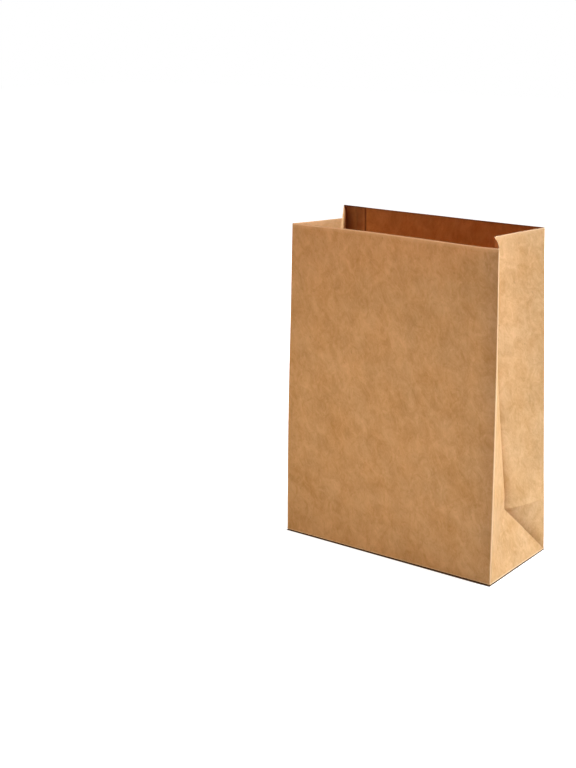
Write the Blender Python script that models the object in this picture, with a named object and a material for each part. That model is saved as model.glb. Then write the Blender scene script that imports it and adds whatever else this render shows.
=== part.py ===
"""Brown paper lunch bag: one folded and glued sheet of kraft paper, standing open on its flat base.

Metres, +Z up. The origin is the centre of the base on the surface that the bag stands on. The front
panel faces -Y, the back panel with the glued side seam faces +Y, and a gusset closes each end in X.
"""

import math

import bmesh
import bpy
from mathutils import Vector

# The tube of the bag
WIDTH = 0.205
DEPTH = 0.096
FRONT_HEIGHT = 0.275
BACK_LIP = 0.0056
GUSSET_LIP = 0.001
PAPER = 0.00018

# How far each gusset's centre crease stands in from the side
MOUTH_TUCK_LEFT = 0.0262
MOUTH_TUCK_RIGHT = 0.0250
BASE_TUCK = 0.0138
TUCK_EASE = 1.93

# The crease where the base folds up when the bag is flat
BASE_CREASE_HEIGHT = 0.049

# How the open mouth leans away from upright, at its corners
LEAN_LEFT = 0.0057
LEAN_RIGHT = -0.0082
LEAN_EASE = 1.27
SWAY_FRONT = -0.0040
SWAY_BACK = -0.0067
BACK_BOW = 0.0017

# The lapped seam down the back panel, measured from its left edge as seen from the front
SEAM_INSET = 0.0257
SEAM_LAP = 0.0120
SEAM_RAMP = 0.0012

# The folded base
FLAP_OVERLAP = 0.024
BASE_LAYERS = 4
FRONT_FLAP_LAYER = 1
END_FLAP_LAYER = 3

# Resolution of the model
PANEL_STEPS = 6
GUSSET_STEPS = 2
RISE_STEPS = 8

KRAFT_COLOUR = (0.56, 0.33, 0.16, 1.0)
KRAFT_ROUGHNESS = 0.85

BASE_STACK = BASE_LAYERS * PAPER
FLAP_LENGTH = (DEPTH + FLAP_OVERLAP) / 2
CUT_MARGIN = 0.002
MERGE_DISTANCE = 1e-7

LEFT, RIGHT = -1, 1
FRONT, BACK = -1, 1


def clear_scene():
    for old in list(bpy.data.objects):
        bpy.data.objects.remove(old, do_unlink=True)


def kraft_paper():
    material = bpy.data.materials.new("kraft_paper")
    material.use_nodes = True
    shader = material.node_tree.nodes["Principled BSDF"]
    shader.inputs["Base Color"].default_value = KRAFT_COLOUR
    shader.inputs["Roughness"].default_value = KRAFT_ROUGHNESS
    shader.inputs["Metallic"].default_value = 0.0
    material.diffuse_color = KRAFT_COLOUR
    return material


def tuck(side, rise):
    """How far the crease of one gusset stands in. rise runs from 0 at the base crease to 1 at the mouth."""
    at_mouth = MOUTH_TUCK_LEFT if side == LEFT else MOUTH_TUCK_RIGHT
    return BASE_TUCK + (at_mouth - BASE_TUCK) * (1 - (1 - rise) ** TUCK_EASE)


def half_depth(side, rise):
    """Half of the open depth. Each half of a gusset keeps its width of half the base's depth."""
    return math.sqrt((DEPTH / 2) ** 2 - tuck(side, rise) ** 2)


def lean(side, height):
    share = height / FRONT_HEIGHT
    return (LEAN_LEFT if side == LEFT else LEAN_RIGHT) * share**LEAN_EASE


def sway(face, height):
    return (SWAY_FRONT if face == FRONT else SWAY_BACK) * height / FRONT_HEIGHT


def level(rise, mouth_height):
    return BASE_CREASE_HEIGHT + (mouth_height - BASE_CREASE_HEIGHT) * rise


def corner(side, face, rise):
    """A vertical edge of the bag, where a panel meets a gusset."""
    height = level(rise, FRONT_HEIGHT + (BACK_LIP if face == BACK else 0))
    over_base = level(rise, FRONT_HEIGHT)
    return Vector(
        (
            side * WIDTH / 2 + sway(face, over_base),
            lean(side, over_base) + face * half_depth(side, rise),
            height,
        )
    )


def crease(side, rise):
    """The centre crease of a gusset."""
    over_base = level(rise, FRONT_HEIGHT)
    sway_here = (sway(FRONT, over_base) + sway(BACK, over_base)) / 2
    return Vector(
        (
            side * (WIDTH / 2 - tuck(side, rise)) + sway_here,
            lean(side, over_base),
            level(rise, FRONT_HEIGHT + GUSSET_LIP),
        )
    )


def base_corner(side, face, height):
    return Vector((side * WIDTH / 2, face * DEPTH / 2, height))


def between(start, end, steps):
    """Points from start towards end, without end."""
    return [start.lerp(end, i / steps) for i in range(steps)]


def gusset_line(first, fold, last):
    return between(first, fold, GUSSET_STEPS) + between(fold, last, GUSSET_STEPS)


def base_gusset_line(first, last):
    """Along the base the points gather at the ends and the middle, so that the diagonal folds are edges."""
    middle = first.lerp(last, 0.5)
    return [first] * GUSSET_STEPS + [middle] + [last] * (GUSSET_STEPS - 1)


def pinched_gusset_line(first, fold, last):
    """At the base crease the diagonal folds meet the centre crease in one point."""
    return [first] + [fold] * (2 * GUSSET_STEPS - 1)


def seam_steps():
    """Each edge of the lapped seam: distance from the back panel's left edge, outer lift and inner lift."""
    inner_edge = SEAM_INSET
    outer_edge = SEAM_INSET - SEAM_LAP
    return [
        (inner_edge + PAPER + SEAM_RAMP, 0, 0),
        (inner_edge + PAPER, PAPER, PAPER),
        (inner_edge, PAPER, 0),
        (outer_edge + PAPER, PAPER, 0),
        (outer_edge, 0, 0),
    ]


def back_line(right, left, bow):
    """Points and lifts across the back panel from its right edge towards its left one."""
    run = left - right
    length = run.length
    seam = seam_steps()
    plain = [i / PANEL_STEPS * (length - seam[0][0]) for i in range(PANEL_STEPS)]
    along = [(s, 0, 0) for s in plain] + [(length - s, out, within) for s, out, within in seam]
    line = []
    for distance, out, within in along:
        share = distance / length
        bowed = Vector((0, -bow * 4 * share * (1 - share), 0))
        line.append((right + run * share + bowed, out, within))
    return line


def ring(front_left, front_right, right_line, back_right, back_left, left_line, bow):
    """One closed section of the tube, anticlockwise from above, as (point, outer lift, inner lift)."""
    points = [(p, 0, 0) for p in between(front_left, front_right, PANEL_STEPS) + right_line]
    points += back_line(back_right, back_left, bow)
    return points + [(p, 0, 0) for p in left_line]


def base_ring(height):
    front_left, front_right = (base_corner(side, FRONT, height) for side in (LEFT, RIGHT))
    back_left, back_right = (base_corner(side, BACK, height) for side in (LEFT, RIGHT))
    right_line = base_gusset_line(front_right, back_right)
    left_line = base_gusset_line(back_left, front_left)
    return ring(front_left, front_right, right_line, back_right, back_left, left_line, 0)


def wall_ring(rise, gusset):
    front_left, front_right = (corner(side, FRONT, rise) for side in (LEFT, RIGHT))
    back_left, back_right = (corner(side, BACK, rise) for side in (LEFT, RIGHT))
    right_line = gusset(front_right, crease(RIGHT, rise), back_right)
    left_line = gusset(back_left, crease(LEFT, rise), front_left)
    bow = BACK_BOW * rise
    return ring(front_left, front_right, right_line, back_right, back_left, left_line, bow)


def neighbour(points, i, step):
    """The nearest point of a section, one way round, that isn't the same as point i."""
    j = (i + step) % len(points)
    while points[j] == points[i]:
        j = (j + step) % len(points)
    return points[j]


def outward(points, i):
    """The mitred outward normal in plan at a corner of a section, long enough to offset both sides by 1."""
    first = (points[i] - neighbour(points, i, -1)).xy.normalized()
    second = (neighbour(points, i, 1) - points[i]).xy.normalized()
    mitre = Vector((first.y + second.y, -first.x - second.x))
    return (2 * mitre / mitre.length_squared).to_3d()


def skins(section):
    """The outer and the inner outline of the paper at one section."""
    points = [point for point, _, _ in section]
    normals = [outward(points, i) for i in range(len(points))]
    outer = [point + normal * out for (point, out, _), normal in zip(section, normals)]
    inner = [point - normal * (PAPER - within) for (point, _, within), normal in zip(section, normals)]
    return outer, inner


def band(bm, low, high, turn):
    """Triangles between two outlines. Both skins have the same diagonals, so the paper keeps its thickness."""
    for i in range(len(low)):
        j = (i + 1) % len(low)
        for corners in ((low[i], low[j], high[j]), (low[i], high[j], high[i])):
            bm.faces.new(corners[::turn])


def build_tube(name):
    """The four walls as one thickness of paper, on a solid floor as thick as the folded base."""
    sections = [base_ring(0), base_ring(BASE_STACK), wall_ring(0, pinched_gusset_line)]
    sections += [wall_ring(i / RISE_STEPS, gusset_line) for i in range(1, RISE_STEPS + 1)]
    bm = bmesh.new()
    outer_rings, inner_rings = [], []
    for section in sections:
        outer, inner = skins(section)
        outer_rings.append([bm.verts.new(point) for point in outer])
        inner_rings.append([bm.verts.new(point) for point in inner])
    for low, high in zip(outer_rings, outer_rings[1:]):
        band(bm, low, high, 1)
    for low, high in zip(inner_rings[1:], inner_rings[2:]):
        band(bm, low, high, -1)
    band(bm, outer_rings[-1], inner_rings[-1], 1)
    bm.faces.new(outer_rings[0][::-1])
    bm.faces.new(inner_rings[1])
    bmesh.ops.remove_doubles(bm, verts=list(bm.verts), dist=MERGE_DISTANCE)
    return to_object(bm, name)


def to_object(bm, name):
    mesh = bpy.data.meshes.new(name)
    bm.to_mesh(mesh)
    bm.free()
    made = bpy.data.objects.new(name, mesh)
    bpy.context.scene.collection.objects.link(made)
    return made


def prism(name, outline, low, high):
    """A cutter with the outline given in plan."""
    bm = bmesh.new()
    face = bm.faces.new([bm.verts.new((x, y, low)) for x, y in outline])
    grown = bmesh.ops.extrude_face_region(bm, geom=[face])
    lifted = [v for v in grown["geom"] if isinstance(v, bmesh.types.BMVert)]
    bmesh.ops.translate(bm, verts=lifted, vec=(0, 0, high - low))
    bmesh.ops.recalc_face_normals(bm, faces=list(bm.faces))
    made = to_object(bm, name)
    made.hide_render = True
    made.display_type = "WIRE"
    return made


def rectangle(x0, x1, y0, y1):
    return [(x0, y0), (x1, y0), (x1, y1), (x0, y1)]


def base_cutters():
    """What the solid floor lacks, so that the folded flaps are left standing above and below each other."""
    half_width, half_depth_base = WIDTH / 2, DEPTH / 2
    between_ends = half_width - FLAP_LENGTH
    front_flap_edge = FLAP_LENGTH - half_depth_base
    back_flap_edge = half_depth_base - FLAP_LENGTH
    wall_clear = half_depth_base - 2 * PAPER
    above = BASE_STACK + CUT_MARGIN
    front_floor = (FRONT_FLAP_LAYER + 1) * PAPER
    back_floor = FRONT_FLAP_LAYER * PAPER
    yield prism(
        "floor_over_front_flap",
        rectangle(-between_ends, between_ends, -wall_clear, front_flap_edge + PAPER),
        front_floor,
        above,
    )
    yield prism(
        "floor_over_back_flap",
        rectangle(-between_ends + PAPER, between_ends - PAPER, front_flap_edge, wall_clear - PAPER),
        back_floor,
        above,
    )
    reach = half_width + CUT_MARGIN
    yield prism(
        "under_front_flap",
        [
            (-reach, half_depth_base + CUT_MARGIN),
            (-reach, -half_depth_base - CUT_MARGIN),
            (reach, -half_depth_base - CUT_MARGIN),
            (reach, half_depth_base + CUT_MARGIN),
            (between_ends, back_flap_edge),
            (-between_ends, back_flap_edge),
        ],
        -CUT_MARGIN,
        FRONT_FLAP_LAYER * PAPER,
    )
    for side in (LEFT, RIGHT):
        outer = half_depth_base + CUT_MARGIN - PAPER
        yield prism(
            "under_end_flap",
            [
                (side * reach, outer),
                (side * reach, -outer),
                (side * (reach - outer), 0),
            ],
            -CUT_MARGIN,
            END_FLAP_LAYER * PAPER,
        )


def main():
    clear_scene()
    bag = build_tube("paper_bag")
    bag.data.materials.append(kraft_paper())
    for cutter in base_cutters():
        cut = bag.modifiers.new(cutter.name, "BOOLEAN")
        cut.operation = "DIFFERENCE"
        cut.object = cutter


main()
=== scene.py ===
"""Looks of the brown paper lunch bag: one folded and glued sheet of kraft paper, standing open.

The walls are one strip of the sheet. It starts at the inner edge of the glued seam on the back panel and
runs round the left gusset, the front panel, the right gusset and the back panel, to the seam's outer edge.
Each point has a place in space and a place on the flat sheet, which the paper's grain follows.
Metres, +Z up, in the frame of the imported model: the front panel faces -Y, +X is to its right.
"""

import math

import bpy
import numpy as np
from mathutils import Matrix, Vector, noise


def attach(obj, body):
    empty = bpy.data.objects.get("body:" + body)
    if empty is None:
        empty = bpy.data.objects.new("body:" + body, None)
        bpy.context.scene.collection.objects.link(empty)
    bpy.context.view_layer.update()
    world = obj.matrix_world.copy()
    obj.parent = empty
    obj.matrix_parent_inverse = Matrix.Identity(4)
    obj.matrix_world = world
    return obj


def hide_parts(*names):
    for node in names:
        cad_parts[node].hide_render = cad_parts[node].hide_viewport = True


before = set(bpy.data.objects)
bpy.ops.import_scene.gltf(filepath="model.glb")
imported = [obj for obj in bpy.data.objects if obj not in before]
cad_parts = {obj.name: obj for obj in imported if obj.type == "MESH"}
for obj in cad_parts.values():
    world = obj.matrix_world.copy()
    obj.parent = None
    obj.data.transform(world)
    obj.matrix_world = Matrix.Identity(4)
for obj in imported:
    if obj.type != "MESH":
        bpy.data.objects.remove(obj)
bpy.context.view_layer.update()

LEFT, RIGHT = -1, 1
FRONT, BACK = -1, 1

# The tube of the bag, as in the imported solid
WIDTH = 0.205
DEPTH = 0.096
FRONT_HEIGHT = 0.275
BACK_LIP = 0.0056
GUSSET_LIP = 0.001
PAPER = 0.00018
MOUTH_TUCK = {LEFT: 0.0262, RIGHT: 0.0250}
BASE_TUCK = 0.0138
TUCK_EASE = 1.93
BASE_CREASE_HEIGHT = 0.049
LEAN = {LEFT: 0.0057, RIGHT: -0.0082}
LEAN_EASE = 1.27
SWAY = {FRONT: -0.0040, BACK: -0.0067}
BACK_BOW = 0.0017
HALF_GUSSET = DEPTH / 2
GIRTH = 2 * (WIDTH + DEPTH)

# The glued seam on the back panel, and the flaps of the base
SEAM_INSET = 0.0257
SEAM_LAP = 0.0120
SEAM_RAMP = 0.0012
FLAP_OVERLAP = 0.024
FLAP_LENGTH = (DEPTH + FLAP_OVERLAP) / 2
FLAP_LAYER = {"back": 0, "front": 1, "end": 3}
FLAP_RISE = 0.004
LAYER_PITCH = 1.1 * PAPER
MITRE = 0.999

# Fineness of the sheet's mesh
GRID = 0.0025
ROUND_STEPS = 4
BASE_ROWS = 20
WALL_ROWS = 88
FLAP_ROWS = 12
GUSSET_STEPS = {"outer": 14, "inner": 8}
SPACING = 1.4
SPREAD_RISE = 0.12
MERGE_DISTANCE = 1e-6
LEAST_SPAN = 1e-9
LEAST_AREA = 1e-15

# Softness of the folds
FOLD_RADIUS = 0.0012
GUSSET_FOLD_RADIUS = 0.0009
FOOT_RADIUS = 0.0013
FLAP_START = 2.5 * FOOT_RADIUS
CREASE_REACH = 0.0012
RIM = 0.0012
ROUND_SHARE = 0.45

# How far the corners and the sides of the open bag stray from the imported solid
TOP_PART = 0.6
CORNER_DROP = 0.0012
CORNER_SHIFT = 0.0010
CORNER_REACH = 0.045
SIDE_BOW = 0.0021
FLARE = 0.0017
FLARE_REACH = 0.014
FLARE_START = 0.007
FLARE_FADE = (0.02, 0.10)
CREASE_FLARE = 0.6 * FLARE
CREASE_FLARE_REACH = 0.020
RIGHT_SHIFT = 0.0005
RIGHT_TOP_SHIFT = 0.0006
RIGHT_SHIFT_REACH = 0.030

# Slight waves of the standing paper
WAVE_HEIGHT = 0.0006
WAVE_LENGTH = 0.055
WAVE_STRETCH = 0.6
RIPPLE_SHARE = 0.4
RIPPLE_SCALE = 2.3
NOISE_SLICE = 0.3
FOLD_CALM = 0.030
FOOT_CALM = 0.060

# The front panel's rounded shoulder beside its right fold
SHOULDER = 0.0020
SHOULDER_REACH = 0.016
SHOULDER_FADE = (0.015, 0.080)
SHOULDER_FOOT = (0.002, 0.035)

# Relief of the gussets: what the flat fold left beside the crease, and how each half curves
FOLD_MEMORY = 0.0030
MEMORY_REACH = 0.004
MEMORY_FADE = (0.05, 0.75)
SAG = {LEFT: -0.00048, RIGHT: 0.0012}
FRONT_BULGE = 0.0006
BASE_EASE = 0.06

# Relief of the small triangle over the base's back diagonal, and of the ridge on its top
BULGE = 0.0030
BULGE_REACH = 0.005
BULGE_FADE = 0.08
RIDGE_HEIGHT = 0.0016
RIDGE_REACH = 0.0045
RIDGE_START = 0.004
RIDGE_EASE = 0.7

# Marks on folds and edges, above 0 for pale wear with a painted highlight and below 0 for a painted line of
# shade
FOLD_WEAR_AND_HIGHLIGHT = 1.0
CREASE_WEAR_AND_HIGHLIGHT = 0.5
DIAGONAL_WEAR_AND_HIGHLIGHT = 0.1
FOOT_WEAR_AND_HIGHLIGHT = 0.9
RIM_WEAR_LIGHT_AND_SHADE = (1.0, 0.9, 0.25)
GUSSET_RIM = 0.5
BACK_RIM = -0.45
SEAM_MARKS = (-0.5, -0.5, 0.3)
SHOULDER_SHADE = 0.15
SHOULDER_SHADE_START = 0.001
BACK_FOLD_MARK = -0.12
BACK_FOLD_REACH = 0.004
# Painted shade inside, on the seam's inner layer towards the back left corner
CORNER_SHADE = 0.95
CORNER_SHADE_REACH = 0.024

# Colours of the paper
PAPER_COLOURS = ((0.600, 0.318, 0.114, 1), (0.588, 0.326, 0.127, 1))
SPECK_COLOUR = (0.35, 0.18, 0.06, 1)
WEAR_AND_HIGHLIGHT_COLOUR = (1.0, 0.70, 0.39, 1)
SHADE_COLOUR = (0.16, 0.018, 0.0, 1)
MOST_WEAR_AND_HIGHLIGHT = 0.9
MOST_SHADED = 0.95
TONE_COLOUR = (1.0, 0.72, 0.46)
ROUGHNESS = (0.66, 0.60)

# Grain of the paper: the strength of each layer, and its noise, from broad clouds to crossing fibres
NOISE_MIDDLE = 0.47
CLOUDS = {"scale": 45, "detail": 2, "stretch": 1.3}
CLOUD_RANGE = (0.3, 0.7)
TONE_LAYERS = (
    (0.40, {"scale": 110, "detail": 3, "stretch": 1.4, "turn": 0.3, "distortion": 0.8, "roughness": 0.8}),
    (0.22, {"scale": 38, "detail": 2, "stretch": 1.2, "turn": 0.2}),
    (0.22, {"scale": 330, "detail": 3, "stretch": 2.0, "turn": 0.45, "distortion": 1.4, "roughness": 0.7}),
    (0.07, {"scale": 800, "detail": 2, "stretch": 3.0, "turn": 0.25, "distortion": 1.0, "roughness": 0.7}),
    (0.065, {"scale": 700, "detail": 2, "stretch": 3.0, "turn": -0.5, "distortion": 1.0, "roughness": 0.7}),
)
SPECKS = {"scale": 420, "detail": 1, "stretch": 2.2, "turn": 0.35}
SPECK_RANGE = (0.70, 0.80)
MOST_SPECKED = 0.4
BUMP_STRENGTH = 0.16
BUMP_DISTANCE = 0.0002
BUMP_GAIN = 4

# Light that passes through the thin paper: of the walls, of the seam, and how it changes over the back
TRANSLUCENCY = 0.18
SEAM_TRANSLUCENCY = 0.32
BACK_SHARE = 0.75
# Less light through towards the back left corner, as painted shade
CORNER_SHADE_SHARE = -0.45
WALL_SHARE = 0.70
CHANGE_REACH = 0.002
CORNER_WIDTH = 0.0005
THROUGH_COLOUR = (0.95, 0.38, 0.04, 1)
SHADED_THROUGH_COLOUR = (0.30, 0.02, 0.0, 1)

# Floor, with a painted contact shadow as the dark line where the bag meets it, and soft light of the room
FLOOR_REACH = 6.0
FLOOR_GAP = 0.0001
FLOOR_COLOUR = (0.52, 0.52, 0.52, 1)
CONTACT_SHADOW_COLOUR = (0.12, 0.065, 0.03, 1)
CONTACT_SHADOW_EDGE = (0.0010, 0.0022)
BRIGHT_EDGE = (0.0012, 0.0028)
DIM_EDGE = (0.01, 0.4)
DIM = 0.85
SIDE_NARROWING = 6
LEFT_NARROWING = 2
ROOM_COLOUR = (1.0, 0.95, 0.90, 1)
ROOM_STRENGTH = 0.03
WHITE = (1, 1, 1, 1)

# Camera, from the vanishing lines of the photograph
CAMERA_PLACE = Vector((0.56444, -0.93705, 0.44396))
CAMERA_AZIMUTH = math.radians(36.836)
CAMERA_ELEVATION = math.radians(15.518)
CAMERA_LENS = 62.149
SENSOR_WIDTH = 36


def tuck(side, rise):
    """How far the crease of one gusset stands in. rise runs from 0 at the base crease to 1 at the mouth."""
    return BASE_TUCK + (MOUTH_TUCK[side] - BASE_TUCK) * (1 - (1 - rise) ** TUCK_EASE)


def half_depth(side, rise):
    return math.sqrt(HALF_GUSSET**2 - tuck(side, rise) ** 2)


def lean(side, height):
    return LEAN[side] * (height / FRONT_HEIGHT) ** LEAN_EASE


def sway(face, height):
    return SWAY[face] * height / FRONT_HEIGHT


def level(rise, mouth_height):
    return BASE_CREASE_HEIGHT + (mouth_height - BASE_CREASE_HEIGHT) * rise


def foot(side, face):
    return Vector((side * WIDTH / 2, face * DEPTH / 2, 0))


def corner(side, face, rise):
    """A vertical edge of the bag, where a panel meets a gusset."""
    over_base = level(rise, FRONT_HEIGHT)
    x = side * WIDTH / 2 + sway(face, over_base)
    y = lean(side, over_base) + face * half_depth(side, rise)
    return Vector((x, y, level(rise, FRONT_HEIGHT + (BACK_LIP if face == BACK else 0))))


def crease(side, rise):
    """The centre crease of a gusset."""
    over_base = level(rise, FRONT_HEIGHT)
    middle = (sway(FRONT, over_base) + sway(BACK, over_base)) / 2
    x = side * (WIDTH / 2 - tuck(side, rise)) + middle
    return Vector((x, lean(side, over_base), level(rise, FRONT_HEIGHT + GUSSET_LIP)))


class Fold:
    """A place where a row of the strip may turn, with its place on the flat sheet, its reach, and its mark of
    pale wear and painted highlight.
    """

    def __init__(self, point, across, radius, wear_and_highlight=FOLD_WEAR_AND_HIGHLIGHT):
        self.place = np.array((*point, across))
        self.radius = radius
        self.wear_and_highlight = wear_and_highlight


def gusset_folds(side, share, rise):
    """The folds of one gusset from front to back: the two diagonals in the base, the crease over it.

    share is the part of the base's height that is reached. Over the base, the columns of the diagonals
    spread out on both sides of the crease.
    """
    apex = crease(side, 0)
    over_base = rise is not None
    if over_base:
        spread = min(1, rise / SPREAD_RISE) / 3
        middle = crease(side, rise)
        front, back = (middle.lerp(corner(side, face, rise), spread) for face in (FRONT, BACK))
    else:
        spread = 1 - share
        front, back = (foot(side, face).lerp(apex, share) for face in (FRONT, BACK))
        middle = front.lerp(back, 0.5)
    start = WIDTH if side == RIGHT else 0
    across = [start + side * (HALF_GUSSET + turn * spread * HALF_GUSSET) for turn in (FRONT, 0, BACK)]
    return [
        Fold(front, across[0], GUSSET_FOLD_RADIUS, 0),
        Fold(middle, across[1], GUSSET_FOLD_RADIUS, CREASE_WEAR_AND_HIGHLIGHT if over_base else 0),
        Fold(back, across[2], GUSSET_FOLD_RADIUS, 0 if over_base else DIAGONAL_WEAR_AND_HIGHLIGHT),
    ]


def strip_folds(share, rise=None):
    """Every fold that one row of the strip passes, between the two edges of the seam."""
    corners = {}
    for side in (LEFT, RIGHT):
        for face in (FRONT, BACK):
            if rise is None:
                corners[side, face] = foot(side, face).lerp(corner(side, face, 0), share)
            else:
                corners[side, face] = corner(side, face, rise)
    back_run = (corners[RIGHT, BACK] - corners[LEFT, BACK]).normalized()
    inner_end = corners[LEFT, BACK] + back_run * SEAM_INSET
    outer_end = corners[LEFT, BACK] + back_run * (SEAM_INSET - SEAM_LAP)
    return [
        Fold(inner_end, -DEPTH - SEAM_INSET, 0),
        Fold(corners[LEFT, BACK], -DEPTH, FOLD_RADIUS),
        *reversed(gusset_folds(LEFT, share, rise)),
        Fold(corners[LEFT, FRONT], 0, FOLD_RADIUS),
        Fold(corners[RIGHT, FRONT], WIDTH, FOLD_RADIUS),
        *gusset_folds(RIGHT, share, rise),
        Fold(corners[RIGHT, BACK], WIDTH + DEPTH, FOLD_RADIUS),
        Fold(outer_end, GIRTH - DEPTH - SEAM_INSET + SEAM_LAP, 0),
    ]


def span_steps():
    """How many grid steps lie between one fold and the next, and at which end they are closest."""
    panel = round(WIDTH / GRID)
    outer, inner = GUSSET_STEPS["outer"], GUSSET_STEPS["inner"]
    gusset = [(outer, "end"), (inner, "end"), (inner, "start"), (outer, "start")]
    inner_layer = round(SEAM_INSET / GRID)
    outer_layer = panel - round((SEAM_INSET - SEAM_LAP) / GRID)
    return [(inner_layer, "start"), *gusset, (panel, "even"), *gusset, (outer_layer, "even")]


def spaced(t, closest):
    if closest == "start":
        return t**SPACING
    if closest == "end":
        return 1 - (1 - t) ** SPACING
    return t


def row_points(folds):
    """Points in space with their place across the flat sheet, and each one's mark of pale wear and painted
    highlight.
    """
    spans = [np.linalg.norm((b.place - a.place)[:3]) for a, b in zip(folds, folds[1:])]
    reach = [0]
    for fold, before, after in zip(folds[1:-1], spans, spans[1:]):
        reach.append(min(fold.radius, ROUND_SHARE * before, ROUND_SHARE * after))
    reach.append(0)
    points, marks = [folds[0].place], [0.0]
    for i, (steps, closest) in enumerate(span_steps()):
        here, there = folds[i].place, folds[i + 1].place
        run = (there - here) / max(spans[i], LEAST_SPAN)
        start = here + run * reach[i]
        end = there - run * reach[i + 1]
        for k in range(1, steps + 1):
            points.append(start + (end - start) * spaced(k / steps, closest))
            marks.append(0.0)
        if i + 2 == len(folds):
            break
        onward = (folds[i + 2].place - there) / max(spans[i + 1], LEAST_SPAN)
        rounded_end = there + onward * reach[i + 1]
        for k in range(1, ROUND_STEPS + 1):
            t = k / ROUND_STEPS
            points.append((1 - t) ** 2 * end + 2 * t * (1 - t) * there + t * t * rounded_end)
            marks.append(4 * t * (1 - t) * folds[i + 1].wear_and_highlight)
    return np.array(points), np.array(marks)


def row_heights():
    """The rows from the foot to the mouth, as (share of the base's height, rise over the base crease)."""
    gap = CREASE_REACH / BASE_CREASE_HEIGHT
    start = (FOOT_RADIUS + RIM / 2) / BASE_CREASE_HEIGHT
    rows = [(FOOT_RADIUS / BASE_CREASE_HEIGHT, None)]
    rows += [(share, None) for share in np.linspace(start, 1 - gap, BASE_ROWS)]
    rows += [(1 - gap / 2, None), (1.0, None)]
    tall = FRONT_HEIGHT - BASE_CREASE_HEIGHT
    gap = CREASE_REACH / tall
    rim = RIM / tall
    rows += [(1.0, gap / 2)]
    rows += [(1.0, rise) for rise in np.linspace(gap, 1 - rim, WALL_ROWS)]
    return rows + [(1.0, 1 - rim / 2), (1.0, 1.0)]


def smooth(low, high, value):
    t = np.clip((value - low) / (high - low), 0, 1)
    return t * t * (3 - 2 * t)


def near(across, line, reach):
    """1 on a line of the flat sheet, falling to 0 on both sides of it."""
    return np.exp(-(((across - line) / reach) ** 2))


def rising(distance, reach):
    """0 at a fold, rising to 1 away from it."""
    return 1 - np.exp(-distance / reach)


def rise_over_base(up):
    return np.clip((up - BASE_CREASE_HEIGHT) / (FRONT_HEIGHT - BASE_CREASE_HEIGHT), 0, 1)


def wrapped(across):
    """The seam's inner layer as a place on the back panel, like the outer layer on it."""
    return np.where(across < -DEPTH, across + GIRTH, across)


def build_strip():
    """The four walls as arrays of rows: places, places on the flat sheet, and marks of pale wear and painted
    highlight.
    """
    places, flats, marks = [], [], []
    for share, rise in row_heights():
        points, row_marks = row_points(strip_folds(share, rise))
        up = share * BASE_CREASE_HEIGHT if rise is None else level(rise, FRONT_HEIGHT)
        places.append(points[:, :3])
        flats.append(np.stack([points[:, 3], np.full(len(points), up)], axis=1))
        marks.append(row_marks)
    return np.array(places), np.array(flats), np.array(marks)


def mark_edges(flats, marks):
    """Pale wear with a painted highlight along the foot and the cut edges, and painted shade: a dark line
    where an edge or a fold is in shade.
    """
    across = flats[-1, :, 0]
    on_front = (across >= 0) & (across <= WIDTH)
    on_back = (across < -DEPTH) | (across > WIDTH + DEPTH)
    marks[0] = np.maximum(marks[0], FOOT_WEAR_AND_HIGHLIGHT)
    # Rims: pale wear with a painted highlight on the front and the gussets, a painted line of shade on the
    # back
    for row, strength in zip((-1, -2, -3), RIM_WEAR_LIGHT_AND_SHADE):
        marks[row] = strength * np.select([on_front, on_back], [1, BACK_RIM], GUSSET_RIM)
    # The seam's inner edge: a painted line of shade, with a painted highlight beside it
    for column, mark in enumerate(SEAM_MARKS):
        marks[:-2, column] = mark
    # Painted shade on the front panel beside its right fold
    away = WIDTH - flats[..., 0]
    beside_fold = (away > SHOULDER_SHADE_START) & (away < SHOULDER_REACH)
    marks[1:-3] -= np.where(beside_fold, SHOULDER_SHADE * (1 - away / SHOULDER_REACH), 0)[1:-3]
    # Painted shade along the back right fold
    from_back = np.abs(WIDTH + DEPTH - flats[..., 0])
    marks[1:-3] = np.where(from_back < BACK_FOLD_REACH, BACK_FOLD_MARK, marks)[1:-3]


def bow_back(places, flats):
    """The back panel bows inwards, most at the mouth."""
    share = (wrapped(flats[..., 0]) - WIDTH - DEPTH) / WIDTH
    bow = BACK_BOW * rise_over_base(flats[..., 1]) * 4 * share * (1 - share)
    places[..., 1] -= np.where((share > 0) & (share < 1), bow, 0)


def settle_corners(places, flats):
    """The corners of the mouth, the left side and the left crease stand a little off their plain lines."""
    across, up = flats[..., 0], flats[..., 1]
    at_top = smooth(TOP_PART, 1, rise_over_base(up))
    tall = np.clip(up / FRONT_HEIGHT, 0, 1)
    down = FRONT_HEIGHT - up
    front_left = near(across, 0, CORNER_REACH)
    places[..., 2] -= CORNER_DROP * front_left * at_top
    places[..., 0] -= front_left * (CORNER_SHIFT * at_top + SIDE_BOW * 4 * tall * (1 - tall))
    flare = smooth(0, FLARE_START, down) * (1 - smooth(*FLARE_FADE, down))
    places[..., 0] += FLARE * near(across, -DEPTH, FLARE_REACH) * flare
    places[..., 0] -= CREASE_FLARE * near(across, -HALF_GUSSET, CREASE_FLARE_REACH) * at_top
    back_right = near(across, WIDTH + DEPTH, RIGHT_SHIFT_REACH)
    places[..., 0] += back_right * (RIGHT_SHIFT - RIGHT_TOP_SHIFT * at_top)


def lift_lap(places, flats):
    """The outer layer of the seam lies on the inner one."""
    lap_start = GIRTH - DEPTH - SEAM_INSET
    lifted = smooth(lap_start - SEAM_RAMP - PAPER, lap_start - PAPER, flats[..., 0])
    places[..., 1] += LAYER_PITCH * lifted


def fold_distance(across):
    """Distance on the flat sheet to the nearest vertical fold."""
    lines = [-DEPTH, -HALF_GUSSET, 0, WIDTH, WIDTH + HALF_GUSSET, WIDTH + DEPTH, GIRTH - DEPTH]
    return np.min([np.abs(across - line) for line in lines], axis=0)


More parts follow.
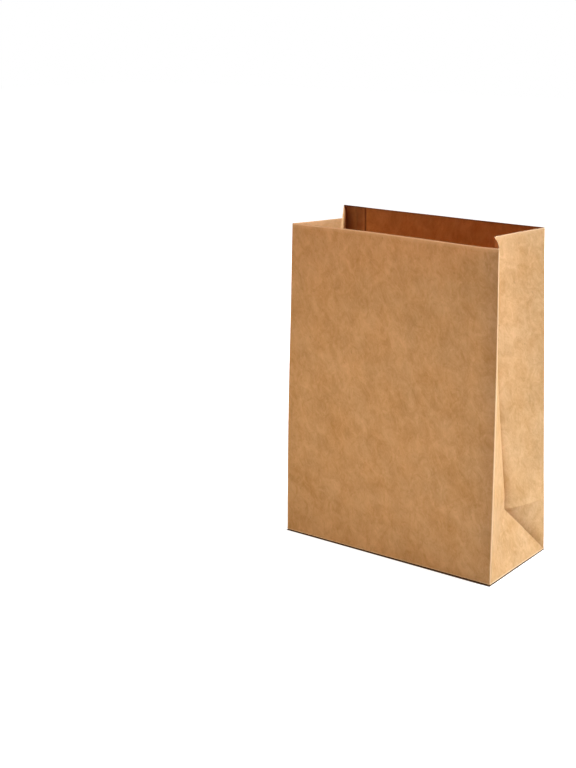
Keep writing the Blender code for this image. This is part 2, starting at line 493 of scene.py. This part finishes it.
def waves(across, up):
    """Height of the paper's slight waves, at rest near folds and foot, and equal in the seam's two layers."""
    around = wrapped(across)
    height = np.empty(across.shape)
    for index in np.ndindex(across.shape):
        place = Vector((around[index], up[index] * WAVE_STRETCH, NOISE_SLICE)) / WAVE_LENGTH
        height[index] = noise.noise(place) + RIPPLE_SHARE * noise.noise(place * RIPPLE_SCALE)
    settle = smooth(0, FOLD_CALM, fold_distance(across)) * smooth(0, FOOT_CALM, up)
    return WAVE_HEIGHT * height * settle


def shoulder(across, up):
    """The front panel rounds off a little towards its right fold."""
    away = WIDTH - across
    turn = np.sin(0.5 * math.pi * np.clip(away / SHOULDER_REACH, 0, 1))
    height = SHOULDER * turn * (1 - smooth(*SHOULDER_FADE, away)) * smooth(*SHOULDER_FOOT, up)
    return np.where((across >= 0) & (across <= WIDTH), height, 0)


def gusset_place(across):
    """Where a point lies on its gusset: 0 at the front fold, 1 at the crease, 2 at the back fold."""
    on_right = (across - WIDTH) / HALF_GUSSET
    on_left = -across / HALF_GUSSET
    return np.where(across > WIDTH / 2, on_right, on_left)


def gusset_relief(across, up):
    """How each half of a gusset curves between its folds, outwards above 0."""
    place = gusset_place(across)
    front_half, back_half = (place > 0) & (place <= 1), (place > 1) & (place < 2)
    rise = rise_over_base(up)
    share = np.clip(up / BASE_CREASE_HEIGHT, 0, 1)
    from_crease = np.abs(place - 1) * HALF_GUSSET
    from_edge = np.clip(2 - place, 0, 1) * HALF_GUSSET
    from_diagonal = np.maximum(place - (2 - share), 0) * HALF_GUSSET / math.sqrt(2)

    memory = rising(from_crease, MEMORY_REACH) * (1 - from_crease / HALF_GUSSET)
    memory = memory * FOLD_MEMORY * (1 - smooth(*MEMORY_FADE, rise))
    sag = np.where(across > WIDTH, SAG[RIGHT], SAG[LEFT]) * np.sin(math.pi * np.clip(place - 1, 0, 1))
    front_bulge = FRONT_BULGE * np.sin(math.pi * place)
    wall = memory - np.where(back_half, sag, 0) + np.where(front_half, front_bulge, 0)

    along_ridge = rising(from_crease, RIDGE_START) * (from_edge / HALF_GUSSET) ** RIDGE_EASE
    ridge = RIDGE_HEIGHT * along_ridge * np.exp(-np.abs(up - BASE_CREASE_HEIGHT) / RIDGE_REACH)
    beside_edge = rising(from_edge, BULGE_REACH)
    bulge = BULGE * rising(from_diagonal, BULGE_REACH) * beside_edge
    kept_bulge = BULGE * rising(from_crease / math.sqrt(2), BULGE_REACH) * beside_edge
    kept_bulge = kept_bulge * np.exp(-rise / BULGE_FADE)

    in_triangle = back_half & (place > 2 - share)
    low = np.where(in_triangle, ridge + bulge, 0)
    high = np.where(back_half, ridge + kept_bulge, 0) + wall * smooth(0, BASE_EASE, rise)
    on_gusset = front_half | back_half
    return np.where(on_gusset, np.where(up >= BASE_CREASE_HEIGHT, high, low), 0)


def relief(flats):
    across, up = flats[:, 0], flats[:, 1]
    height = waves(across, up) + shoulder(across, up) + gusset_relief(across, up)
    return np.where(up > 0, height, 0)


def corner_shade(across):
    """Painted shade: how much darker the inside is on the seam's inner layer, towards the corner beside it.
    """
    away = -DEPTH - across
    shade = CORNER_SHADE * (1 - np.clip(away / CORNER_SHADE_REACH, 0, 1))
    return np.where((away > 0) & (away < SEAM_INSET), shade, 0)


def vertex_normals(places, faces):
    """Unit normals of the points, from the faces round each one."""
    normals = np.zeros(places.shape)
    for face in faces:
        first, second, last = places[face[0]], places[face[1]], places[face[-1]]
        turn = np.cross(second - first, last - first)
        if len(face) == 4:
            opposite = places[face[2]]
            turn = turn + np.cross(last - opposite, second - opposite)
        for point in face:
            normals[point] += turn
    return normals / np.maximum(np.linalg.norm(normals, axis=1, keepdims=True), LEAST_AREA)


def free_edges(faces):
    """The edges that only one face has, in that face's direction."""
    sides = {side for face in faces for side in zip(face, face[1:] + face[:1])}
    return sorted((a, b) for a, b in sides if (b, a) not in sides)


class Sheet:
    """Gathers the patches of the sheet's outer side, and makes one closed mesh as thick as the paper."""

    def __init__(self):
        self.places, self.flats, self.marks, self.faces = [], [], [], []
        self.count = 0

    def add(self, places, flats, marks):
        rows, columns = places.shape[:2]
        index = np.arange(rows * columns).reshape(rows, columns) + self.count
        quads = np.stack([index[:-1, :-1], index[:-1, 1:], index[1:, 1:], index[1:, :-1]], axis=-1)
        self.faces.append(quads.reshape(-1, 4))
        self.places.append(places.reshape(-1, 3))
        self.flats.append(flats.reshape(-1, 2))
        self.marks.append(marks.reshape(-1))
        self.count += rows * columns

    def merged(self):
        """Points that coincide become one, and faces that lose a side become triangles."""
        places = np.concatenate(self.places)
        keys = np.round(places / MERGE_DISTANCE).astype(np.int64)
        _, first, index = np.unique(keys, axis=0, return_index=True, return_inverse=True)
        index = index.reshape(-1)
        faces = []
        for quad in np.concatenate(self.faces):
            face = list(dict.fromkeys(index[quad].tolist()))
            if len(face) > 2:
                faces.append(face)
        return places[first], np.concatenate(self.flats)[first], np.concatenate(self.marks)[first], faces

    def to_object(self, name):
        places, flats, marks, faces = self.merged()
        outer = places + vertex_normals(places, faces) * relief(flats)[:, None]
        inner = outer - vertex_normals(outer, faces) * PAPER
        count = len(outer)
        inner_faces = [[point + count for point in reversed(face)] for face in faces]
        rim = [(b, a, a + count, b + count) for a, b in free_edges(faces)]
        mesh = bpy.data.meshes.new(name)
        mesh.from_pydata(np.concatenate([outer, inner]).tolist(), [], faces + inner_faces + rim)
        flat = np.concatenate([flats, np.zeros((count, 1))], axis=1)
        vectors = np.concatenate([flat, flat]).ravel()
        mesh.attributes.new("sheet", "FLOAT_VECTOR", "POINT").data.foreach_set("vector", vectors)
        # The inner side also takes the painted shade of the corner beside the seam
        inner_marks = marks - np.where(flats[:, 1] > 0, corner_shade(flats[:, 0]), 0)
        values = np.concatenate([marks, inner_marks])
        mesh.attributes.new("fold", "FLOAT", "POINT").data.foreach_set("value", values)
        made = bpy.data.objects.new(name, mesh)
        bpy.context.scene.collection.objects.link(made)
        return made


def flap(sheet, places, flats, marks, turned, reach, layer):
    """A flap that folds under from a stretch of the wall's lowest row and narrows at 45 degrees."""
    edge, across = places[0], flats[0, :, 0]
    axis = 0 if turned else 1
    other = 1 - axis
    outer = np.sign(edge[:, axis].mean())
    half_length = np.abs(edge[:, other]).max()
    line = outer * np.abs(edge[:, axis]).max()
    rows, rows_flat, rows_marks = [], [], []
    distances = [reach * k / FLAP_ROWS for k in range(FLAP_ROWS, 0, -1)] + [FLAP_START]
    for away in distances:
        row = edge.copy()
        row[:, other] = edge[:, other] * (half_length - min(away, half_length * MITRE)) / half_length
        row[:, axis] = line - outer * away
        row[:, 2] = FLAP_LAYER[layer] * LAYER_PITCH * smooth(0, FLAP_RISE, away)
        rows.append(row)
        rows_flat.append(np.stack([across, np.full(len(across), -away)], axis=1))
        rows_marks.append(np.zeros(len(across)))
    start, control = rows[-1], edge.copy()
    control[:, axis] = line
    control[:, 2] = 0
    for k in range(1, ROUND_STEPS + 1):
        t = k / ROUND_STEPS
        rows.append((1 - t) ** 2 * start + 2 * t * (1 - t) * control + t * t * edge)
        rows_flat.append(np.stack([across, np.full(len(across), (2 * t - 1) * FOOT_RADIUS)], axis=1))
        rows_marks.append(np.full(len(across), 4 * t * (1 - t)) if k < ROUND_STEPS else marks[0])
    sheet.add(np.array(rows), np.array(rows_flat), np.array(rows_marks))


def build_bag():
    places, flats, marks = build_strip()
    bow_back(places, flats)
    settle_corners(places, flats)
    lift_lap(places, flats)
    mark_edges(flats, marks)
    sheet = Sheet()
    sheet.add(places, flats, marks)
    ends = np.cumsum([0] + [steps + ROUND_STEPS for steps, _ in span_steps()])
    turns = [end - ROUND_STEPS // 2 for end in ends]
    stretches = [
        (turns[1], turns[5], True, HALF_GUSSET, "end"),
        (turns[5], turns[6], False, FLAP_LENGTH, "front"),
        (turns[6], turns[10], True, HALF_GUSSET, "end"),
        (turns[10], len(flats[0]) - 1, False, FLAP_LENGTH, "back"),
    ]
    for first, last, turned, reach, layer in stretches:
        part = slice(first, last + 1)
        flap(sheet, places[:1, part], flats[:1, part], marks[:1, part], turned, reach, layer)
    return sheet.to_object("kraft_sheet")


class Graph:
    """Adds nodes to one tree. An input takes a number, a colour, or the output of another node."""

    def __init__(self, tree):
        self.nodes = tree.nodes
        self.links = tree.links

    def feed(self, socket, value):
        if isinstance(value, (int, float, tuple)):
            socket.default_value = value
        else:
            self.links.new(value, socket)

    def shader(self, kind, **inputs):
        node = self.nodes.new(kind)
        for name, value in inputs.items():
            self.feed(node.inputs[name], value)
        return node.outputs[0]

    def maths(self, operation, first, second):
        node = self.nodes.new("ShaderNodeMath")
        node.operation = operation
        self.feed(node.inputs[0], first)
        self.feed(node.inputs[1], second)
        return node.outputs["Value"]

    def remap(self, value, low, high, to_low, to_high):
        node = self.nodes.new("ShaderNodeMapRange")
        limits = {"From Min": low, "From Max": high, "To Min": to_low, "To Max": to_high}
        for name, number in limits.items():
            node.inputs[name].default_value = number
        self.feed(node.inputs["Value"], value)
        return node.outputs["Result"]

    def blend(self, factor, first, second):
        node = self.nodes.new("ShaderNodeMix")
        node.data_type = "RGBA"
        inputs = {socket.identifier: socket for socket in node.inputs}
        for name, value in (("Factor_Float", factor), ("A_Color", first), ("B_Color", second)):
            self.feed(inputs[name], value)
        return {socket.identifier: socket for socket in node.outputs}["Result_Color"]

    def mix(self, factor, first, second):
        node = self.nodes.new("ShaderNodeMixShader")
        for socket, value in zip(node.inputs, (factor, first, second)):
            self.feed(socket, value)
        return node.outputs["Shader"]

    def parts(self, vector):
        node = self.nodes.new("ShaderNodeSeparateXYZ")
        self.links.new(vector, node.inputs["Vector"])
        return node.outputs

    def attribute(self, name):
        node = self.nodes.new("ShaderNodeAttribute")
        node.attribute_name = name
        return node.outputs

    def noise(self, vector, scale, detail, stretch, turn=0, distortion=0.0, roughness=0.5):
        """Noise that is longer along the sheet's height, and turned by an angle."""
        mapping = self.nodes.new("ShaderNodeMapping")
        mapping.vector_type = "TEXTURE"
        mapping.inputs["Scale"].default_value = (1, stretch, 1)
        mapping.inputs["Rotation"].default_value = (0, 0, turn)
        self.links.new(vector, mapping.inputs["Vector"])
        texture = self.nodes.new("ShaderNodeTexNoise")
        texture.inputs["Scale"].default_value = scale
        texture.inputs["Detail"].default_value = detail
        texture.inputs["Roughness"].default_value = roughness
        texture.inputs["Distortion"].default_value = distortion
        self.links.new(mapping.outputs["Vector"], texture.inputs["Vector"])
        return texture.outputs["Fac"]

    def seen_plainly(self):
        """1 for the camera's own rays and for what metal or glass shows of them, else 0."""
        path = self.nodes.new("ShaderNodeLightPath").outputs
        passed_on = self.maths("MAXIMUM", path["Is Glossy Ray"], path["Is Transmission Ray"])
        return self.maths("MAXIMUM", path["Is Camera Ray"], passed_on)


def paper_tone(graph, sheet):
    """How much lighter or darker the paper is, from broad clouds to single fibres."""
    tone = 0.0
    for strength, layer in TONE_LAYERS:
        centred = graph.maths("SUBTRACT", graph.noise(sheet, **layer), NOISE_MIDDLE)
        tone = graph.maths("ADD", tone, graph.maths("MULTIPLY", centred, strength))
    return tone


def paper_colour(graph, sheet, clouds, tone, pale_wear_and_highlight, shaded):
    """Kraft brown with its tone and specks, pale wear with painted highlights, and painted shade in lines and
    in the corner beside the seam.
    """
    base = graph.blend(graph.remap(clouds, *CLOUD_RANGE, 0, 1), *PAPER_COLOURS)
    toned = graph.nodes.new("ShaderNodeVectorMath")
    toned.operation = "MULTIPLY_ADD"
    toned.inputs[0].default_value = TONE_COLOUR
    graph.links.new(tone, toned.inputs[1])
    graph.links.new(base, toned.inputs[2])
    specks = graph.remap(graph.noise(sheet, **SPECKS), *SPECK_RANGE, 0, MOST_SPECKED)
    colour = graph.blend(specks, toned.outputs["Vector"], SPECK_COLOUR)
    colour = graph.blend(pale_wear_and_highlight, colour, WEAR_AND_HIGHLIGHT_COLOUR)
    return graph.blend(shaded, colour, SHADE_COLOUR)


def share_through(graph, sheet):
    """The share of light that passes through: most in the seam, least in the corner beside it, else even. The
    corner's smaller share adds to its painted shade.
    """
    across = graph.parts(sheet)["X"]
    lap_end = -DEPTH - SEAM_INSET + SEAM_LAP
    back = BACK_SHARE * TRANSLUCENCY
    seam = graph.remap(across, lap_end - CHANGE_REACH, lap_end, SEAM_TRANSLUCENCY, back)
    in_corner = graph.remap(across, lap_end, -DEPTH, 0, CORNER_SHADE_SHARE * TRANSLUCENCY)
    past_corner = graph.remap(across, -DEPTH - CORNER_WIDTH, -DEPTH, 0, WALL_SHARE * TRANSLUCENCY)
    return graph.maths("ADD", graph.maths("ADD", seam, in_corner), past_corner)


def kraft():
    """Unbleached kraft paper: matt, grained, and thin enough to let some light through."""
    material = bpy.data.materials.new("kraft_paper_look")
    material.use_nodes = True
    graph = Graph(material.node_tree)
    shader = graph.nodes["Principled BSDF"]
    shader.inputs["Metallic"].default_value = 0
    shader.inputs["Specular IOR Level"].default_value = 0.3
    sheet = graph.attribute("sheet")["Vector"]
    fold = graph.attribute("fold")["Fac"]

    # Marks above 0 give pale wear with a painted highlight, marks below 0 give painted shade
    pale_wear_and_highlight = graph.maths("MULTIPLY", graph.maths("MAXIMUM", fold, 0), MOST_WEAR_AND_HIGHLIGHT)
    in_shade = graph.maths("MAXIMUM", graph.maths("MULTIPLY", fold, -1), 0)
    shaded = graph.maths("MULTIPLY", in_shade, MOST_SHADED)
    clouds = graph.noise(sheet, **CLOUDS)
    tone = paper_tone(graph, sheet)
    graph.feed(shader.inputs["Base Color"], paper_colour(graph, sheet, clouds, tone, pale_wear_and_highlight, shaded))
    graph.feed(shader.inputs["Roughness"], graph.remap(clouds, *CLOUD_RANGE, *ROUGHNESS))

    bump = graph.nodes.new("ShaderNodeBump")
    bump.inputs["Strength"].default_value = BUMP_STRENGTH
    bump.inputs["Distance"].default_value = BUMP_DISTANCE
    graph.links.new(graph.maths("MULTIPLY", tone, BUMP_GAIN), bump.inputs["Height"])
    graph.links.new(bump.outputs["Normal"], shader.inputs["Normal"])

    # Where shade is painted into the colour, the light through the paper is darkened too
    through_colour = graph.blend(shaded, THROUGH_COLOUR, SHADED_THROUGH_COLOUR)
    through = graph.shader("ShaderNodeBsdfTranslucent", Color=through_colour)
    looks = graph.mix(share_through(graph, sheet), shader.outputs["BSDF"], through)
    graph.links.new(looks, graph.nodes["Material Output"].inputs["Surface"])
    return material


def lamp(name, place, target, size, power, colour=WHITE[:3]):
    data = bpy.data.lights.new(name, "AREA")
    data.shape = "RECTANGLE"
    data.size, data.size_y = size
    data.energy = power
    data.color = colour
    made = bpy.data.objects.new(name, data)
    made.location = place
    made.rotation_mode = "QUATERNION"
    made.rotation_quaternion = (Vector(place) - Vector(target)).normalized().to_track_quat("Z", "Y")
    made.visible_camera = False
    bpy.context.scene.collection.objects.link(made)


def pale_floor():
    """White round the bag, with a painted shadow: a dark line at its foot, which is widest at the front right
    corner.
    """
    material = bpy.data.materials.new("pale_floor")
    material.use_nodes = True
    graph = Graph(material.node_tree)
    graph.nodes.clear()
    place = graph.parts(graph.nodes.new("ShaderNodeNewGeometry").outputs["Position"])
    past_side = graph.maths("SUBTRACT", graph.maths("ABSOLUTE", place["X"], 0), WIDTH / 2)
    past_front = graph.maths("SUBTRACT", graph.maths("ABSOLUTE", place["Y"], 0), DEPTH / 2)
    narrowing = graph.remap(place["X"], -WIDTH / 2, WIDTH / 2, LEFT_NARROWING, 1)
    past_side = graph.maths("MULTIPLY", past_side, SIDE_NARROWING)
    past_front = graph.maths("MULTIPLY", past_front, narrowing)
    outside = graph.maths("MAXIMUM", past_side, past_front)

    # Painted contact shadow: the floor's colour goes dark close to the foot
    floor_and_painted_shadow = graph.blend(graph.remap(outside, *CONTACT_SHADOW_EDGE, 0, 1), CONTACT_SHADOW_COLOUR, FLOOR_COLOUR)
    edge = graph.remap(outside, *BRIGHT_EDGE, 0, 1)
    shown = graph.maths("MULTIPLY", edge, graph.remap(outside, *DIM_EDGE, DIM, 1))
    strength = graph.maths("MULTIPLY", graph.seen_plainly(), shown)
    total = graph.nodes.new("ShaderNodeAddShader")
    graph.links.new(graph.shader("ShaderNodeBsdfDiffuse", Color=floor_and_painted_shadow), total.inputs[0])
    graph.links.new(graph.shader("ShaderNodeEmission", Strength=strength), total.inputs[1])
    output = graph.nodes.new("ShaderNodeOutputMaterial")
    graph.links.new(total.outputs["Shader"], output.inputs["Surface"])
    return material


def build_floor():
    mesh = bpy.data.meshes.new("floor")
    ways = [(-1, -1), (1, -1), (1, 1), (-1, 1)]
    mesh.from_pydata([(x * FLOOR_REACH, y * FLOOR_REACH, 0) for x, y in ways], [], [(0, 1, 2, 3)])
    floor = bpy.data.objects.new("floor", mesh)
    floor.location.z = -FLOOR_GAP
    bpy.context.scene.collection.objects.link(floor)
    mesh.materials.append(pale_floor())


def build_world():
    """Weak, even light for the bag, and white where the room is seen."""
    world = bpy.data.worlds.new("studio")
    world.use_nodes = True
    graph = Graph(world.node_tree)
    graph.nodes.clear()
    soft = graph.shader("ShaderNodeBackground", Color=ROOM_COLOUR, Strength=ROOM_STRENGTH)
    white = graph.shader("ShaderNodeBackground", Color=WHITE, Strength=1)
    output = graph.nodes.new("ShaderNodeOutputWorld")
    graph.links.new(graph.mix(graph.seen_plainly(), soft, white), output.inputs["Surface"])
    bpy.context.scene.world = world


def build_lamps():
    middle = (0, 0, 0.13)
    lamp("top", (0, 0, 2.4), middle, (1.0, 1.0), 14)
    lamp("key", (0.85, 0.32, 0.70), (0, 0, 0.18), (0.5, 0.5), 17.6, (0.92, 1.09, 1.29))
    lamp("front_fill", (-0.045, -0.36, 0.15), (0, 0, 0.12), (0.30, 0.2), 0.65, (1.11, 1.01, 0.86))
    lamp("back_fill", (-0.3, 1.5, 0.6), middle, (1.2, 0.8), 15)


def build_camera():
    data = bpy.data.cameras.new("camera")
    data.lens = CAMERA_LENS
    data.sensor_width = SENSOR_WIDTH
    camera = bpy.data.objects.new("camera", data)
    level_back = math.cos(CAMERA_ELEVATION)
    x, y = math.sin(CAMERA_AZIMUTH) * level_back, -math.cos(CAMERA_AZIMUTH) * level_back
    back = Vector((x, y, math.sin(CAMERA_ELEVATION)))
    right = Vector((0, 0, 1)).cross(back).normalized()
    turn = Matrix((right, back.cross(right), back)).transposed()
    camera.matrix_world = Matrix.Translation(CAMERA_PLACE) @ turn.to_4x4()
    bpy.context.scene.collection.objects.link(camera)
    bpy.context.scene.camera = camera


bag = build_bag()
bag.data.materials.append(kraft())
bag.data.shade_smooth()
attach(bag, "root")
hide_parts("paper_bag")

build_floor()
build_world()
build_lamps()
build_camera()
bpy.context.scene.view_settings.view_transform = "Standard"
